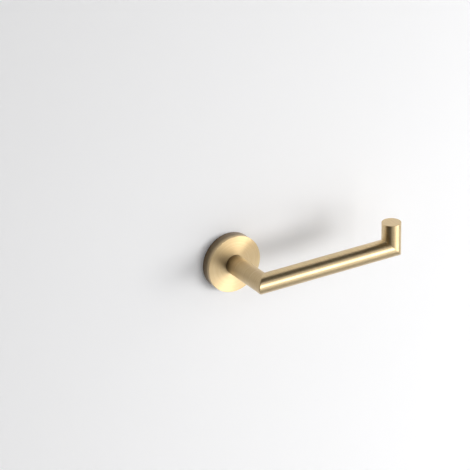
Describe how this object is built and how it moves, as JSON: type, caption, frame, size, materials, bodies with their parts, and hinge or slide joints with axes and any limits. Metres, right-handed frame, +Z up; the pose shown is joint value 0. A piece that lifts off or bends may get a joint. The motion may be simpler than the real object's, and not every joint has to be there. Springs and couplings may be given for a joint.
{
  "type": "wall-mounted toilet paper holder",
  "caption": "Open-ended brushed brass toilet paper holder: a round wall rose, a straight post, a mitred horizontal roll bar and a short upturned end that keeps the roll on.",
  "frame": {"origin": "on the wall plane, at the axis of the round rose", "axes": "+Y into the wall, so the object stands out towards -Y; +X along the roll bar, from the post to the upturned end; +Z up"},
  "size_m": [0.1735, 0.1027, 0.054],
  "materials": {
    "turned_brass": "satin, turned: fine circular lines on the face and round the rim",
    "brushed_brass": "satin, brushed round the tube and straight across the end cap",
    "machined_brass": "as machined, inside the post",
    "plate_steel": "bright zinc plate over turned steel",
    "screw_steel": "bright zinc plate",
    "grub_steel": "plain stainless steel",
    "plug_nylon": "moulded grey nylon"
  },
  "bodies": {
    "root": {"wall_plate": "plate_steel", "wall_screws": "screw_steel", "wall_screw_washers": "screw_steel", "wall_plugs": "plug_nylon", "rose": "turned_brass", "rose_grub_screw": "grub_steel", "post_insert": "machined_brass", "post_bolt": "screw_steel", "post_bolt_washer": "screw_steel", "post_locating_pin": "grub_steel", "post_tube": "brushed_brass", "roll_bar_tube": "brushed_brass", "end_upright_tube": "brushed_brass", "end_cap": "brushed_brass"}
  },
  "joints": []
}
